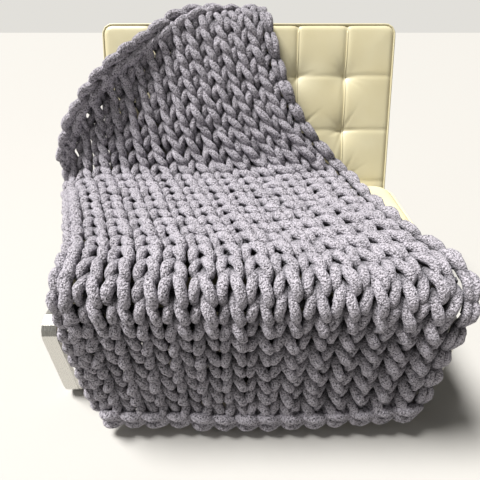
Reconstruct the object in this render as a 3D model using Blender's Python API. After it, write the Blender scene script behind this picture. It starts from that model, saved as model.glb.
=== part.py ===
"""Chunky knit blanket draped over a plain armless lounge chair.

Metres, +Z up. The chair is laid out from the floor below the middle of the seat's
front edge: +X to the right of someone facing it, +Y towards
the back. At the end everything moves so that the origin is the bottom centre of the
whole object's box.
"""

import math

import bmesh
import bpy
from mathutils import Matrix, Vector

# ------------------------------------------------------------------ driving sizes
GAP = 0.0003                  # between hard pieces that touch
CLOTH_GAP = 0.002             # between the blanket and the chair's edges

SEAT_WIDTH = 0.77
SEAT_TOP = 0.40
CREASE_Y = 0.434              # where the seat meets the back, behind the front edge
RECLINE = math.radians(24.6)  # back cushion, from the vertical
BACK_WIDTH = 0.76
BACK_RISE = 0.402             # back cushion above the crease, along its slope
BACK_DROP = 0.145             # and below it, behind the seat cushion
BACK_THICK = 0.085
SOFT_EDGE = 0.030             # rounding of the cushions' edges

BAR_WIDE = 0.035
BAR_THICK = 0.012
FRAME_X = 0.4375              # middle of each side frame
FRAME_FRONT = 0.040
FRAME_BACK = 0.560
FRAME_TOP = 0.250
FRAME_BEND = 0.040            # outer radius of the side frames' corners
BOARD_THICK = 0.018
PANEL_THICK = 0.012
PANEL_LIFT = 0.040            # bottom of the back panel above that of the back cushion
STRUT_X = 0.22

THICK = 0.042                 # blanket, through both faces of its stitches
HEM_Z = 0.026                 # lowest point of the hem
FRONT_ROLL = 0.054            # radii of the blanket's middle where it bends
CREASE_ROLL = 0.070
TOP_ROLL = 0.053
TOP_START = 0.376             # up the back, where the blanket turns over its top
HEM_SWING = 0.010             # how far the hem swings forward
SIDE_SAG = 0.065              # how far the overhang beyond the chair's side sinks
CURL_REACH = 0.085            # length of cloth in the curled edge

ACROSS = 16                   # facets across the blanket
ALONG = 68                    # and along it

# Edges of the blanket. run: metres from the lowest hem, or from the named place.
EDGE_ROWS = (
    # place    run    left    right
    ("hem",    0.00, -0.335,  0.388),
    ("hem",    0.16, -0.350,  0.393),
    ("front", -0.05, -0.352,  0.393),
    ("front",  0.05, -0.360,  0.376),
    ("front",  0.13, -0.388,  0.338),
    ("front",  0.22, -0.426,  0.307),
    ("front",  0.31, -0.466,  0.284),
    ("crease", 0.00, -0.498,  0.273),
    ("crease", 0.06, -0.500,  0.226),
    ("crease", 0.13, -0.492,  0.164),
    ("crease", 0.19, -0.486,  0.123),
    ("crease", 0.27, -0.488,  0.086),
    ("crease", 0.42, -0.515,  0.043),
    ("crease", 0.52, -0.525,  0.030),
)

# The blanket's two ends, by the place across it, 0 at the left edge, 1 at the right.
END_ROWS = (
    # across  hem_rise  end_up  curl
    (0.00,    0.018,    0.078,  0.046),
    (0.06,    0.013,    0.168,  0.050),
    (0.13,    0.009,    0.218,  0.050),
    (0.20,    0.006,    0.262,  0.046),
    (0.28,    0.003,    0.302,  0.040),
    (0.36,    0.001,    0.332,  0.032),
    (0.45,    0.000,    0.366,  0.020),
    (0.53,    0.000,    0.395,  0.009),
    (0.61,    0.003,    0.422,  0.000),
    (0.76,    0.013,    0.455,  0.000),
    (1.00,    0.036,    0.480,  0.000),
)

FINISHES = {
    # name            colour                    roughness  metallic
    "knit_yarn":     ((0.302, 0.285, 0.345), 0.95, 0.0),
    "ivory_leather": ((0.820, 0.745, 0.520), 0.50, 0.0),
    "frame_steel":   ((0.600, 0.590, 0.560), 0.28, 1.0),
    "board_wood":    ((0.420, 0.280, 0.160), 0.60, 0.0),
}

# ------------------------------------------------------------------ derived places
CLOTH_OFF = THICK / 2 + CLOTH_GAP
RISE = math.pi / 2 - RECLINE
BOARD_TOP = FRAME_TOP + GAP + BOARD_THICK
SEAT_BOTTOM = BOARD_TOP + GAP
CLOTH_SEAT_Z = SEAT_TOP + CLOTH_OFF
CLOTH_FRONT_Y = -CLOTH_OFF - 0.001
# Up the back's slope, the point where the blanket's middle would meet its own seat run.
MEET_UP = (CLOTH_SEAT_Z - SEAT_TOP - CLOTH_OFF * math.sin(RECLINE)) / math.cos(RECLINE)
MEET_Y = CREASE_Y - CLOTH_OFF * math.cos(RECLINE) + MEET_UP * math.sin(RECLINE)
CREASE_CUT = CREASE_ROLL * math.tan(RISE / 2)

# The blanket's way up the chair: straight runs, each ending in a bend.
PATH = (
    # straight length                                    turn          radius
    (CLOTH_SEAT_Z - FRONT_ROLL - HEM_Z,                  -math.pi / 2, FRONT_ROLL),
    (MEET_Y - CREASE_CUT - CLOTH_FRONT_Y - FRONT_ROLL,   RISE,         CREASE_ROLL),
    (TOP_START - MEET_UP - CREASE_CUT,                   -math.pi / 2, TOP_ROLL),
    (0.060,                                              0.0,          1.0),
)
RUN_FRONT = PATH[0][0] + FRONT_ROLL * math.pi / 2
RUN_CREASE = RUN_FRONT + PATH[1][0] + CREASE_ROLL * RISE - MEET_UP - CREASE_CUT
PLACES = {"hem": 0.0, "front": RUN_FRONT, "crease": RUN_CREASE}


# ------------------------------------------------------------------ helpers
def clear_scene():
    for old in list(bpy.data.objects):
        bpy.data.objects.remove(old, do_unlink=True)


def make_material(name):
    colour, roughness, metallic = FINISHES[name]
    material = bpy.data.materials.new(name)
    material.use_nodes = True
    shader = material.node_tree.nodes["Principled BSDF"]
    shader.inputs["Base Color"].default_value = (*colour, 1.0)
    shader.inputs["Roughness"].default_value = roughness
    shader.inputs["Metallic"].default_value = metallic
    material.diffuse_color = (*colour, 1.0)
    return material


def add_object(name, shape, finish, smooth_angle=40.0):
    """Turn a bmesh into a named object with its material, shaded smooth."""
    mesh = bpy.data.meshes.new(name)
    bmesh.ops.recalc_face_normals(shape, faces=shape.faces)
    shape.to_mesh(mesh)
    shape.free()
    mesh.shade_smooth()
    mesh.set_sharp_from_angle(angle=math.radians(smooth_angle))
    thing = bpy.data.objects.new(name, mesh)
    mesh.materials.append(materials[finish])
    bpy.context.collection.objects.link(thing)
    return thing


def round_edges(thing, width, segments):
    bevel = thing.modifiers.new("rounding", "BEVEL")
    bevel.width = width
    bevel.segments = segments
    bevel.limit_method = "ANGLE"
    bevel.angle_limit = math.radians(30.0)
    bevel.harden_normals = False


def side_profile(name, points, x_low, x_high, finish):
    """Extrude a closed (y, z) outline from x_low to x_high."""
    shape = bmesh.new()
    face = shape.faces.new([shape.verts.new((x_low, y, z)) for y, z in points])
    swept = bmesh.ops.extrude_face_region(shape, geom=[face])
    moved = [v for v in swept["geom"] if isinstance(v, bmesh.types.BMVert)]
    bmesh.ops.translate(shape, verts=moved, vec=Vector((x_high - x_low, 0.0, 0.0)))
    return add_object(name, shape, finish)


def on_back(up, proud):
    """Point (y, z) at a distance up the back's slope and in front of its face."""
    y = CREASE_Y + up * math.sin(RECLINE) - proud * math.cos(RECLINE)
    z = SEAT_TOP + up * math.cos(RECLINE) + proud * math.sin(RECLINE)
    return y, z


def smooth_step(value):
    value = min(max(value, 0.0), 1.0)
    return value * value * (3.0 - 2.0 * value)


def look_up(rows, column, at):
    """Smooth cubic through a table whose first column is the place."""
    last = len(rows) - 1
    slopes = []
    for index in range(last + 1):
        low, high = rows[max(index - 1, 0)], rows[min(index + 1, last)]
        slopes.append((high[column] - low[column]) / (high[0] - low[0]))
    index = 0
    while index < last - 1 and at > rows[index + 1][0]:
        index += 1
    low, high = rows[index], rows[index + 1]
    step = high[0] - low[0]
    t = min(max((at - low[0]) / step, 0.0), 1.0)
    value = low[column] * (1 + 2 * t) * (1 - t) ** 2 + high[column] * t * t * (3 - 2 * t)
    return value + step * t * (1 - t) * (slopes[index] * (1 - t) - slopes[index + 1] * t)


# ------------------------------------------------------------------ the blanket
def drape_path(run):
    """Place (y, z) and heading of the blanket's middle, run metres up from the hem."""
    y, z, heading = CLOTH_FRONT_Y, HEM_Z, math.pi / 2
    left = run
    for index, (straight, turn, radius) in enumerate(PATH):
        last = index == len(PATH) - 1
        step = left if last else min(left, straight)
        y += step * math.cos(heading)
        z += step * math.sin(heading)
        left -= step
        if left <= 0.0 or last:
            break
        bend = min(left / radius, abs(turn))
        side = math.copysign(1.0, turn)
        turned = heading + side * bend
        y += side * radius * (math.sin(turned) - math.sin(heading))
        z -= side * radius * (math.cos(turned) - math.cos(heading))
        heading = turned
        left -= bend * radius
    return y, z, heading


EDGES = [(PLACES[place] + run, left, right) for place, run, left, right in EDGE_ROWS]


def blanket_point(across, along, level):
    """A point of the blanket: across and along from 0 to 1, level above its middle."""
    start = look_up(END_ROWS, 1, across)
    end = RUN_CREASE + look_up(END_ROWS, 2, across)
    run = start + (end - start) * along
    y, z, heading = drape_path(run)
    left = look_up(EDGES, 1, run)
    right = look_up(EDGES, 2, run)
    x = left + (right - left) * across
    beyond = min(max((-SEAT_WIDTH / 2 - 0.003 - x) / 0.12, 0.0), 1.0)
    sag = SIDE_SAG * beyond ** 1.6 * smooth_step((run - RUN_FRONT) / 0.2)
    curl = look_up(END_ROWS, 3, across) * smooth_step(1.0 - (end - run) / CURL_REACH)
    swing = HEM_SWING * max(1.0 - run / 0.16, 0.0) ** 2
    lift = level + curl + swing - sag
    return x, y - math.sin(heading) * lift, z + math.cos(heading) * lift


def make_blanket():
    """One closed slab: both faces of the cloth, with a rounded side at each edge."""
    shape = bmesh.new()
    rings = []
    for row in range(ALONG + 1):
        along = row / ALONG
        ring = [blanket_point(i / ACROSS, along, THICK / 2) for i in range(ACROSS + 1)]
        middle_right = Vector(blanket_point(1.0, along, 0.0))
        ring.append(middle_right + Vector((THICK * 0.2, 0.0, 0.0)))
        ring += [blanket_point(i / ACROSS, along, -THICK / 2) for i in range(ACROSS, -1, -1)]
        middle_left = Vector(blanket_point(0.0, along, 0.0))
        ring.append(middle_left - Vector((THICK * 0.2, 0.0, 0.0)))
        rings.append([shape.verts.new(point) for point in ring])
    count = len(rings[0])
    for lower, upper in zip(rings, rings[1:]):
        for i in range(count):
            j = (i + 1) % count
            shape.faces.new((lower[i], lower[j], upper[j], upper[i]))
    for ring in (rings[0], rings[-1]):
        for i in range(ACROSS):
            top, next_top = ring[i], ring[i + 1]
            under, next_under = ring[count - 2 - i], ring[count - 3 - i]
            shape.faces.new((top, next_top, next_under, under))
        shape.faces.new((ring[ACROSS], ring[ACROSS + 1], ring[ACROSS + 2]))
        shape.faces.new((ring[0], ring[count - 1], ring[count - 2]))
    bmesh.ops.triangulate(shape, faces=shape.faces)
    return add_object("blanket", shape, "knit_yarn", 60.0)


# ------------------------------------------------------------------ the chair
def make_cushions():
    rear_top = CREASE_Y - 0.0005
    rear_bottom = rear_top - (SEAT_TOP - SEAT_BOTTOM) * math.tan(RECLINE)
    outline = ((0.0, SEAT_BOTTOM), (rear_bottom, SEAT_BOTTOM), (rear_top, SEAT_TOP), (0.0, SEAT_TOP))
    seat = side_profile("seat_cushion", outline, -SEAT_WIDTH / 2, SEAT_WIDTH / 2, "ivory_leather")
    round_edges(seat, SOFT_EDGE, 3)
    outline = (
        on_back(-BACK_DROP, 0.0),
        on_back(-BACK_DROP, -BACK_THICK),
        on_back(BACK_RISE, -BACK_THICK),
        on_back(BACK_RISE, 0.0),
    )
    back = side_profile("back_cushion", outline, -BACK_WIDTH / 2, BACK_WIDTH / 2, "ivory_leather")
    round_edges(back, SOFT_EDGE, 3)


def make_boards():
    """The plywood under the seat, and the upholstered panel behind the back."""
    half = SEAT_WIDTH / 2 - 0.012
    low, high = BOARD_TOP - BOARD_THICK, BOARD_TOP
    outline = ((0.012, low), (0.352, low), (0.352, high), (0.012, high))
    round_edges(side_profile("seat_board", outline, -half, half, "board_wood"), 0.003, 1)
    front = -BACK_THICK - GAP
    rear = front - PANEL_THICK
    low, high = -BACK_DROP + PANEL_LIFT, BACK_RISE - 0.012
    outline = (on_back(low, front), on_back(low, rear), on_back(high, rear), on_back(high, front))
    half = BACK_WIDTH / 2 - 0.012
    round_edges(side_profile("back_panel", outline, -half, half, "ivory_leather"), 0.004, 2)


def frame_outline(inset):
    """Rounded rectangle (y, z) of a side frame, moved inwards by inset."""
    radius = FRAME_BEND - inset
    low_y, high_y = FRAME_FRONT + inset, FRAME_BACK - inset
    low_z, high_z = inset, FRAME_TOP - inset
    corners = ((high_y, low_z, 270), (high_y, high_z, 0), (low_y, high_z, 90), (low_y, low_z, 180))
    points = []
    for corner_y, corner_z, first in corners:
        middle_y = corner_y - math.copysign(radius, corner_y - (low_y + high_y) / 2)
        middle_z = corner_z - math.copysign(radius, corner_z - (low_z + high_z) / 2)
        for step in range(6):
            angle = math.radians(first + 18 * step)
            points.append((middle_y + radius * math.cos(angle), middle_z + radius * math.sin(angle)))
    return points


def make_side_frame(name, middle_x):
    """A flat bar bent into a closed loop that stands on its lower run."""
    shape = bmesh.new()
    loops = []
    for inset in (0.0, BAR_THICK):
        for x in (middle_x - BAR_WIDE / 2, middle_x + BAR_WIDE / 2):
            loops.append([shape.verts.new((x, y, z)) for y, z in frame_outline(inset)])
    outer_low, outer_high, inner_low, inner_high = loops
    around = ((outer_low, outer_high), (outer_high, inner_high), (inner_high, inner_low), (inner_low, outer_low))
    count = len(outer_low)
    for first, second in around:
        for i in range(count):
            j = (i + 1) % count
            shape.faces.new((first[i], first[j], second[j], second[i]))
    round_edges(add_object(name, shape, "frame_steel"), 0.0012, 1)


def make_cross_bar(name, middle_y):
    half = FRAME_X - BAR_WIDE / 2 - GAP
    low, high = FRAME_TOP - BAR_THICK, FRAME_TOP
    near, far = middle_y - BAR_WIDE / 2, middle_y + BAR_WIDE / 2
    outline = ((near, low), (far, low), (far, high), (near, high))
    side_profile(name, outline, -half, half, "frame_steel")


def make_strut(name, middle_x):
    """A bar that carries the back, from the rear cross bar up behind the panel."""
    front = -BACK_THICK - PANEL_THICK - 2 * GAP
    foot_z = FRAME_TOP + GAP
    outline = []
    for proud, up in ((front, None), (front - BAR_THICK, None), (front - BAR_THICK, 0.33), (front, 0.33)):
        if up is None:
            up = (foot_z - SEAT_TOP - proud * math.sin(RECLINE)) / math.cos(RECLINE)
        outline.append(on_back(up, proud))
    side_profile(name, outline, middle_x - BAR_WIDE / 2, middle_x + BAR_WIDE / 2, "frame_steel")


def make_frame():
    for side, sign in (("left", -1), ("right", 1)):
        make_side_frame(f"side_frame_{side}", sign * FRAME_X)
        make_strut(f"back_strut_{side}", sign * STRUT_X)
    for place, middle_y in (("front", 0.090), ("middle", 0.300), ("rear", 0.487)):
        make_cross_bar(f"cross_bar_{place}", middle_y)


def centre_on_floor():
    """Move everything so that the origin is the bottom centre of the whole box."""
    bpy.context.view_layer.update()
    things = [thing for thing in bpy.data.objects if thing.type == "MESH"]
    graph = bpy.context.evaluated_depsgraph_get()
    corners = []
    for thing in things:
        mesh = thing.evaluated_get(graph).to_mesh()
        corners += [vertex.co.copy() for vertex in mesh.vertices]
        thing.evaluated_get(graph).to_mesh_clear()
    low = [min(corner[axis] for corner in corners) for axis in range(3)]
    high = [max(corner[axis] for corner in corners) for axis in range(3)]
    shift = Vector((-(low[0] + high[0]) / 2, -(low[1] + high[1]) / 2, -low[2]))
    for thing in things:
        thing.data.transform(Matrix.Translation(shift))


clear_scene()
materials = {name: make_material(name) for name in FINISHES}
make_cushions()
make_boards()
make_frame()
make_blanket()
centre_on_floor()
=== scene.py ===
"""Looks for a chunky knit blanket that lies over a plain armless lounge chair.

The blanket is plain stockinette in thick chenille yarn: every course is one yarn that
runs through all the wales, and the four edges are chains of yarn. The chair is an
upholstered seat and back on a flat-bar frame.
"""

import logging
import math
from collections.abc import Callable
from dataclasses import dataclass, field
from enum import Enum

import bpy
import numpy as np
from mathutils import Euler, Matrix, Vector


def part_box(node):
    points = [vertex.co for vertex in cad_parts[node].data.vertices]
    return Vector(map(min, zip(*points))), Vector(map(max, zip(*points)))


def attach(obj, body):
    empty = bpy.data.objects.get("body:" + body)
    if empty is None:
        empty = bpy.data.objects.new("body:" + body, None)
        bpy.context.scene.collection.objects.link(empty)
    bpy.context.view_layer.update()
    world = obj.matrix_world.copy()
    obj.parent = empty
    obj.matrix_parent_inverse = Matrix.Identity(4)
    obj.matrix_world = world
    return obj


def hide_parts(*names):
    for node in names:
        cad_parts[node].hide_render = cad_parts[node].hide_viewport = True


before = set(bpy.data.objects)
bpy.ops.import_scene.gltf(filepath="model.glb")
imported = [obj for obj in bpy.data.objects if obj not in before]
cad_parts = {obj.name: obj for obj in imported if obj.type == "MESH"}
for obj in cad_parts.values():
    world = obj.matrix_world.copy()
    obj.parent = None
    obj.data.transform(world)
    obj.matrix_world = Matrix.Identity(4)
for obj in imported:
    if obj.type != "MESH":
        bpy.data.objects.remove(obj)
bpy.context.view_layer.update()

log = logging.getLogger("knit_blanket")
SEED = 20417


# --------------------------------------------------------------------------- finishes
@dataclass(frozen=True)
class Paint:
    """The plain values of one finish.

    Args:
        colour: linear base colour.
        roughness: of the surface.
        metallic: 0 or 1.
    """

    colour: tuple[float, float, float]
    roughness: float
    metallic: float = 0.0


class Finish(Enum):
    """The object's finishes, each with its plain values."""

    YARN = Paint((0.476, 0.450, 0.499), 0.95)
    IVORY_LEATHER = Paint((0.660, 0.608, 0.415), 0.42)
    STEEL = Paint((0.640, 0.625, 0.585), 0.26, 1.0)
    BOARD = Paint((0.300, 0.205, 0.125), 0.60)
    FLOOR = Paint((0.420, 0.411, 0.394), 0.85)


@dataclass
class Nodes:
    """A small helper that adds and joins shader nodes in one tree.

    Args:
        tree: the tree.
    """

    tree: bpy.types.NodeTree

    def add(self, kind: str, **values: object) -> bpy.types.Node:
        """Add a node and set its properties and its inputs by name.

        Args:
            kind: the node's type.
            values: properties, or input names with spaces written as underscores.

        Returns:
            The new node.
        """
        node = self.tree.nodes.new(kind)
        for name, value in values.items():
            socket = name.replace("_", " ")
            if hasattr(node, name):
                setattr(node, name, value)
            else:
                node.inputs[socket].default_value = value
        return node

    def join(self, source: bpy.types.NodeSocket, target: bpy.types.NodeSocket) -> None:
        """Link one socket to another."""
        self.tree.links.new(source, target)

    def ramp(self, source: bpy.types.NodeSocket, low: float, high: float) -> bpy.types.NodeSocket:
        """Stretch a value between low and high to 0 and 1, clamped.

        Args:
            source: the value.
            low: what becomes 0.
            high: what becomes 1.

        Returns:
            The stretched value's socket.
        """
        node = self.add("ShaderNodeMapRange", From_Min=low, From_Max=high)
        self.join(source, node.inputs["Value"])
        return node.outputs["Result"]

    def mix(
        self, factor: bpy.types.NodeSocket, low: tuple, high: tuple | bpy.types.NodeSocket
    ) -> bpy.types.NodeSocket:
        """Mix a fixed colour with another, fixed or made.

        Args:
            factor: 0 gives low and 1 gives high.
            low: linear colour.
            high: linear colour, or a made colour's socket.

        Returns:
            The mixed colour's socket.
        """
        node = self.add("ShaderNodeMix", data_type="RGBA")
        colours = [socket for socket in node.inputs if socket.type == "RGBA"]
        colours[0].default_value = (*low, 1.0)
        if isinstance(high, tuple):
            colours[1].default_value = (*high, 1.0)
        else:
            self.join(high, colours[1])
        self.join(factor, node.inputs["Factor"])
        return next(socket for socket in node.outputs if socket.type == "RGBA")


def scaled(colour: tuple, factor: float) -> tuple[float, float, float]:
    """A linear colour made lighter or darker, no channel above 1."""
    return tuple(min(channel * factor, 1.0) for channel in colour)


def mottle_group() -> bpy.types.ShaderNodeTree:
    """Shared node group: two-scale mottling and a fine height for it.

    Returns:
        A group with inputs Vector, Coarse and Fine, and outputs Mottle and Grain.
    """
    name = "mottle"
    if name in bpy.data.node_groups:
        return bpy.data.node_groups[name]
    group = bpy.data.node_groups.new(name, "ShaderNodeTree")
    group.interface.new_socket("Vector", in_out="INPUT", socket_type="NodeSocketVector")
    for label in ("Coarse", "Fine"):
        group.interface.new_socket(label, in_out="INPUT", socket_type="NodeSocketFloat")
    for label in ("Mottle", "Grain"):
        group.interface.new_socket(label, in_out="OUTPUT", socket_type="NodeSocketFloat")
    nodes = Nodes(group)
    inside = group.nodes.new("NodeGroupInput")
    outside = group.nodes.new("NodeGroupOutput")
    for size, out in (("Coarse", "Mottle"), ("Fine", "Grain")):
        noise = nodes.add("ShaderNodeTexNoise", Detail=3.0, Roughness=0.62)
        nodes.join(inside.outputs["Vector"], noise.inputs["Vector"])
        nodes.join(inside.outputs[size], noise.inputs["Scale"])
        nodes.join(noise.outputs["Fac"], outside.inputs[out])
    return group


@dataclass(frozen=True)
class Material:
    """Builds one named procedural material from a finish.

    Args:
        name: the material's name.
        finish: its plain values.
    """

    name: str
    finish: Finish

    def start(self) -> tuple[bpy.types.Material, Nodes, bpy.types.Node, bpy.types.NodeSocket]:
        """Create the material and its shader.

        Returns:
            The material, its node helper, the shader and the object coordinates.
        """
        material = bpy.data.materials.new(self.name)
        material.use_nodes = True
        nodes = Nodes(material.node_tree)
        shader = material.node_tree.nodes["Principled BSDF"]
        paint = self.finish.value
        shader.inputs["Base Color"].default_value = (*paint.colour, 1.0)
        shader.inputs["Roughness"].default_value = paint.roughness
        shader.inputs["Metallic"].default_value = paint.metallic
        material.diffuse_color = (*paint.colour, 1.0)
        place = nodes.add("ShaderNodeTexCoord").outputs["Object"]
        return material, nodes, shader, place

    @staticmethod
    def mottled(nodes: Nodes, place: bpy.types.NodeSocket, coarse: float, fine: float) -> bpy.types.Node:
        """Place the shared mottling group.

        Args:
            nodes: the material's helper.
            place: coordinates.
            coarse: features for each metre of the mottling.
            fine: features for each metre of the grain.

        Returns:
            The group node.
        """
        node = nodes.add("ShaderNodeGroup", node_tree=mottle_group())
        node.inputs["Coarse"].default_value = coarse
        node.inputs["Fine"].default_value = fine
        nodes.join(place, node.inputs["Vector"])
        return node

    @staticmethod
    def stretched(nodes: Nodes, place: bpy.types.NodeSocket, scale: tuple) -> bpy.types.NodeSocket:
        """Coordinates that draw a pattern out where the scale is small.

        Args:
            nodes: the material's helper.
            place: coordinates.
            scale: on each axis.

        Returns:
            The new coordinates' socket.
        """
        stretch = nodes.add("ShaderNodeMapping")
        stretch.inputs["Scale"].default_value = scale
        nodes.join(place, stretch.inputs["Vector"])
        return stretch.outputs["Vector"]

    @staticmethod
    def uneven_gloss(
        nodes: Nodes, source: bpy.types.NodeSocket, shader: bpy.types.Node, low: float, high: float
    ) -> None:
        """Let the roughness drift.

        Args:
            nodes: the material's helper.
            source: what it follows, 0 to 1.
            shader: takes the roughness.
            low: roughness at 0.
            high: roughness at 1.
        """
        rough = nodes.add("ShaderNodeMapRange", To_Min=low, To_Max=high)
        nodes.join(source, rough.inputs["Value"])
        nodes.join(rough.outputs["Result"], shader.inputs["Roughness"])

    @staticmethod
    def bump(
        nodes: Nodes, height: bpy.types.NodeSocket, shader: bpy.types.Node, strength: float, depth: float
    ) -> None:
        """Feed a height into the shader's normal.

        Args:
            nodes: the material's helper.
            height: the height's socket, 0 to 1.
            shader: takes the normal.
            strength: how strongly it shows.
            depth: metres between heights 0 and 1.
        """
        bump = nodes.add("ShaderNodeBump", Strength=strength, Distance=depth)
        nodes.join(height, bump.inputs["Height"])
        nodes.join(bump.outputs["Normal"], shader.inputs["Normal"])


@dataclass(frozen=True)
class YarnMaterial(Material):
    """Chenille: a short velvety pile with pits between its tufts, darkened with painted shade.

    Args:
        tuft: tufts for each metre.
        grain: pits for each metre.
        pit_shade: a pit's painted shade, as a share of the yarn's colour.
        valley: height out of the cloth below which the yarn's colour is painted as shade.
        crest: height out of the cloth above which no shade is painted on it.
        valley_shade: the painted shade's colour as a share of the yarn's.
    """

    tuft: float = 270.0
    grain: float = 330.0
    pit_shade: float = 0.11
    valley: float = 0.0005
    crest: float = 0.0145
    valley_shade: float = 0.08

    def build(self) -> bpy.types.Material:
        """Return the finished yarn material.

        Returns:
            The material.
        """
        material, nodes, shader, place = self.start()
        colour = self.finish.value.colour
        shader.inputs["Sheen Weight"].default_value = 0.35
        shader.inputs["Sheen Roughness"].default_value = 0.45
        shader.inputs["Sheen Tint"].default_value = (0.86, 0.84, 0.95, 1.0)
        shader.inputs["Specular IOR Level"].default_value = 0.12
        group = self.mottled(nodes, place, 16.0, self.grain)
        tufts = nodes.add("ShaderNodeTexVoronoi", feature="F1", Scale=self.tuft)
        warp = nodes.add("ShaderNodeMixRGB", blend_type="LINEAR_LIGHT")
        warp.inputs["Fac"].default_value = 0.0012
        nodes.join(place, warp.inputs["Color1"])
        swirl = nodes.add("ShaderNodeTexNoise", Scale=240.0, Detail=2.0)
        nodes.join(place, swirl.inputs["Vector"])
        nodes.join(swirl.outputs["Color"], warp.inputs["Color2"])
        nodes.join(warp.outputs["Color"], tufts.inputs["Vector"])
        dome = nodes.ramp(tufts.outputs["Distance"], 0.80, 0.30)
        # Painted shade: pits in the pile are darkened in the colour as well as sunk by the bump.
        pits = nodes.ramp(group.outputs["Grain"], 0.38, 0.47)
        open_pits = nodes.add("ShaderNodeMath", operation="MULTIPLY")
        nodes.join(nodes.ramp(dome, -0.35, 0.55), open_pits.inputs[0])
        nodes.join(pits, open_pits.inputs[1])
        # Painted shade: the yarn's colour darkens where it lies low in the cloth, read from the rise
        # attribute.
        rise = nodes.add("ShaderNodeAttribute", attribute_name="rise")
        raised = nodes.ramp(rise.outputs["Fac"], self.valley, self.crest)
        drift = nodes.ramp(group.outputs["Mottle"], 0.3, 0.7)
        light = nodes.mix(drift, scaled(colour, 0.92), scaled(colour, 1.10))
        pitted = nodes.mix(open_pits.outputs["Value"], scaled(colour, self.pit_shade), light)
        shaded = nodes.mix(raised, scaled(colour, self.valley_shade), pitted)
        nodes.join(shaded, shader.inputs["Base Color"])
        height = nodes.add("ShaderNodeMath", operation="MULTIPLY_ADD")
        nodes.join(open_pits.outputs["Value"], height.inputs[0])
        height.inputs[1].default_value = 0.6
        nodes.join(dome, height.inputs[2])
        self.bump(nodes, height.outputs["Value"], shader, 0.68, 0.0026)
        return material


@dataclass(frozen=True)
class LeatherMaterial(Material):
    """Coated hide: faint colour drift, pores and a soft gloss."""

    def build(self) -> bpy.types.Material:
        """Return the finished leather material.

        Returns:
            The material.
        """
        material, nodes, shader, place = self.start()
        colour = self.finish.value.colour
        shader.inputs["Coat Weight"].default_value = 0.12
        shader.inputs["Coat Roughness"].default_value = 0.3
        group = self.mottled(nodes, place, 7.0, 260.0)
        warm = (colour[0] * 0.97, colour[1] * 0.94, colour[2] * 0.86)
        tone = nodes.mix(nodes.ramp(group.outputs["Mottle"], 0.3, 0.7), warm, scaled(colour, 1.03))
        nodes.join(tone, shader.inputs["Base Color"])
        self.uneven_gloss(nodes, group.outputs["Grain"], shader, 0.36, 0.52)
        pores = nodes.add("ShaderNodeTexVoronoi", feature="DISTANCE_TO_EDGE", Scale=520.0)
        nodes.join(place, pores.inputs["Vector"])
        edge = nodes.ramp(pores.outputs["Distance"], 0.0, 0.12)
        height = nodes.add("ShaderNodeMath", operation="ADD")
        nodes.join(edge, height.inputs[0])
        nodes.join(group.outputs["Grain"], height.inputs[1])
        self.bump(nodes, height.outputs["Value"], shader, 0.22, 0.0004)
        return material


@dataclass(frozen=True)
class SteelMaterial(Material):
    """Satin steel with fine brushed streaks along the bars."""

    def build(self) -> bpy.types.Material:
        """Return the finished steel material.

        Returns:
            The material.
        """
        material, nodes, shader, place = self.start()
        colour = self.finish.value.colour
        group = self.mottled(nodes, self.stretched(nodes, place, (1.0, 0.04, 0.04)), 900.0, 2600.0)
        drift = nodes.ramp(group.outputs["Mottle"], 0.3, 0.7)
        nodes.join(nodes.mix(drift, scaled(colour, 0.93), scaled(colour, 1.04)), shader.inputs["Base Color"])
        self.uneven_gloss(nodes, group.outputs["Mottle"], shader, 0.20, 0.36)
        self.bump(nodes, group.outputs["Grain"], shader, 0.08, 0.0003)
        return material


@dataclass(frozen=True)
class BoardMaterial(Material):
    """Bare plywood with a long grain."""

    def build(self) -> bpy.types.Material:
        """Return the finished board material.

        Returns:
            The material.
        """
        material, nodes, shader, place = self.start()
        colour = self.finish.value.colour
        group = self.mottled(nodes, self.stretched(nodes, place, (0.06, 1.0, 1.0)), 90.0, 420.0)
        drift = nodes.ramp(group.outputs["Mottle"], 0.35, 0.65)
        nodes.join(nodes.mix(drift, scaled(colour, 0.72), scaled(colour, 1.2)), shader.inputs["Base Color"])
        self.bump(nodes, group.outputs["Grain"], shader, 0.2, 0.0004)
        return material


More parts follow.
